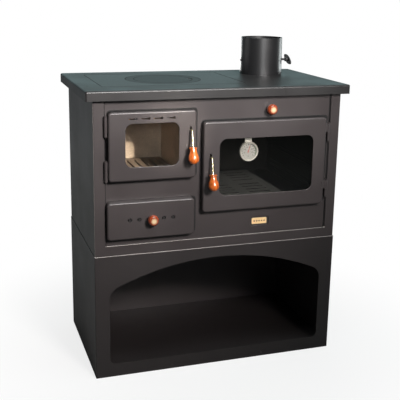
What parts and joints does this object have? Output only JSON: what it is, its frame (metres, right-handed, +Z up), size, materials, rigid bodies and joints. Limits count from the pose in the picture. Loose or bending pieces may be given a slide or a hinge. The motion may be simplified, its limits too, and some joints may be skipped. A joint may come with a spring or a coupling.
{
  "type": "wood burning cooking stove",
  "caption": "Wood burning cooking stove with glazed firebox and oven doors, ash drawer, cast hob with lift-out ring, flue spigot with damper, on an arched log store.",
  "frame": {"origin": "on the floor, under the middle of the outermost sizes: hob from side to side, grips to hob from front to back", "axes": "+X to the right seen from the front, +Y to the back, +Z up"},
  "size_m": [0.795, 0.4974, 0.968],
  "materials": {
    "stove_paint": "satin heat-proof charcoal paint",
    "hob_paint": "satin heat-proof grey paint",
    "hob_iron": "fine cast, painted",
    "flue_paint": "satin black heat-proof paint",
    "inner_steel": "plain mild steel",
    "grate_iron": "rough cast",
    "firebrick": "matt vermiculite brick",
    "oven_enamel": "dark enamel",
    "oven_tray_steel": "grey enamel",
    "lacquered_wood": "orange-red lacquer",
    "latch_brass": "pale brass plating",
    "badge_brass": "brushed",
    "door_glass": "clear ceramic glass",
    "rope_seal": "knitted glass-fibre rope",
    "thermo_steel": "polished",
    "thermo_dial": "white print",
    "thermo_needle": "red",
    "thermo_lens": "clear"
  },
  "bodies": {
    "stove": {"base_front": "stove_paint", "base_shell": "stove_paint", "base_floor": "stove_paint", "side_panel_left": "stove_paint", "side_panel_right": "stove_paint", "back_panel": "stove_paint", "casing_floor": "stove_paint", "bottom_rail": "stove_paint", "front_plate": "stove_paint", "hinge_brackets": "stove_paint", "hob_frame": "hob_paint", "hob_plate": "hob_iron", "flue_spigot": "flue_paint", "smoke_shelf": "inner_steel", "hearth_plate": "inner_steel", "divider": "inner_steel", "drawer_runners": "inner_steel", "fire_catch": "inner_steel", "oven_catch": "inner_steel", "hinge_pins": "inner_steel", "grate": "grate_iron", "firebricks": "firebrick", "oven_box": "oven_enamel", "oven_runners": "oven_enamel", "oven_tray": "oven_tray_steel", "badge": "badge_brass"},
    "fire_door": {"fire_door_panel": "stove_paint", "fire_door_glass": "door_glass", "fire_glass_clips": "inner_steel", "fire_seal_channel": "inner_steel", "fire_seal_rope": "rope_seal", "fire_door_hinges": "stove_paint", "fire_latch_bracket": "inner_steel"},
    "fire_latch": {"fire_latch": "latch_brass", "fire_grip": "lacquered_wood"},
    "oven_door": {"oven_door_panel": "stove_paint", "oven_door_glass": "door_glass", "oven_glass_clips": "inner_steel", "oven_seal_channel": "inner_steel", "oven_seal_rope": "rope_seal", "oven_door_hinges": "stove_paint", "oven_latch_bracket": "inner_steel", "thermometer_case": "thermo_steel", "thermometer_dial": "thermo_dial", "thermometer_lens": "thermo_lens"},
    "oven_latch": {"oven_latch": "latch_brass", "oven_grip": "lacquered_wood"},
    "needle": {"thermometer_needle": "thermo_needle"},
    "ash_drawer": {"drawer_front": "stove_paint", "ash_box": "inner_steel"},
    "air_shutter": {"air_slider": "inner_steel", "drawer_knob": "lacquered_wood"},
    "damper": {"damper_shaft": "flue_paint", "damper_disc": "flue_paint", "damper_handle": "flue_paint"},
    "bypass": {"bypass_rod": "latch_brass", "bypass_knob": "lacquered_wood", "bypass_valve": "inner_steel"},
    "ring": {"hob_ring": "hob_iron"},
    "lid": {"hob_lid": "hob_iron"}
  },
  "joints": [
    {"name": "fire_door_swing", "type": "hinge", "parent": "stove", "child": "fire_door", "pos_m": [-0.3415, -0.19181, 0.688], "axis": [0, 0, -1], "range_deg": [0, 115]},
    {"name": "fire_latch_turn", "type": "hinge", "parent": "fire_door", "child": "fire_latch", "pos_m": [-0.101, -0.19181, 0.7355], "axis": [-1, 0, 0], "range_deg": [-8, 28]},
    {"name": "oven_door_swing", "type": "hinge", "parent": "stove", "child": "oven_door", "pos_m": [0.3375, -0.19181, 0.621], "axis": [0, 0, 1], "range_deg": [0, 115]},
    {"name": "oven_latch_turn", "type": "hinge", "parent": "oven_door", "child": "oven_latch", "pos_m": [-0.04, -0.19181, 0.653], "axis": [-1, 0, 0], "range_deg": [-8, 28]},
    {"name": "needle_turn", "type": "hinge", "parent": "oven_door", "child": "needle", "pos_m": [0.081, -0.18881, 0.6615], "axis": [0, 1, 0], "range_deg": [-120, 90]},
    {"name": "drawer_slide", "type": "slide", "parent": "stove", "child": "ash_drawer", "axis": [0, -1, 0], "range_m": [0, 0.3]},
    {"name": "air_shutter_slide", "type": "slide", "parent": "ash_drawer", "child": "air_shutter", "axis": [1, 0, 0], "range_m": [-0.004, 0.0085]},
    {"name": "damper_turn", "type": "hinge", "parent": "stove", "child": "damper", "pos_m": [0.245, 0.13169, 0.895], "axis": [1, 0, 0], "range_deg": [-26, 64]},
    {"name": "bypass_pull", "type": "slide", "parent": "stove", "child": "bypass", "axis": [0, -1, 0], "range_m": [0, 0.08]},
    {"name": "ring_lift", "type": "slide", "parent": "stove", "child": "ring", "axis": [0, 0, 1], "range_m": [0, 0.15]},
    {"name": "lid_lift", "type": "slide", "parent": "ring", "child": "lid", "axis": [0, 0, 1], "range_m": [0, 0.15]}
  ]
}
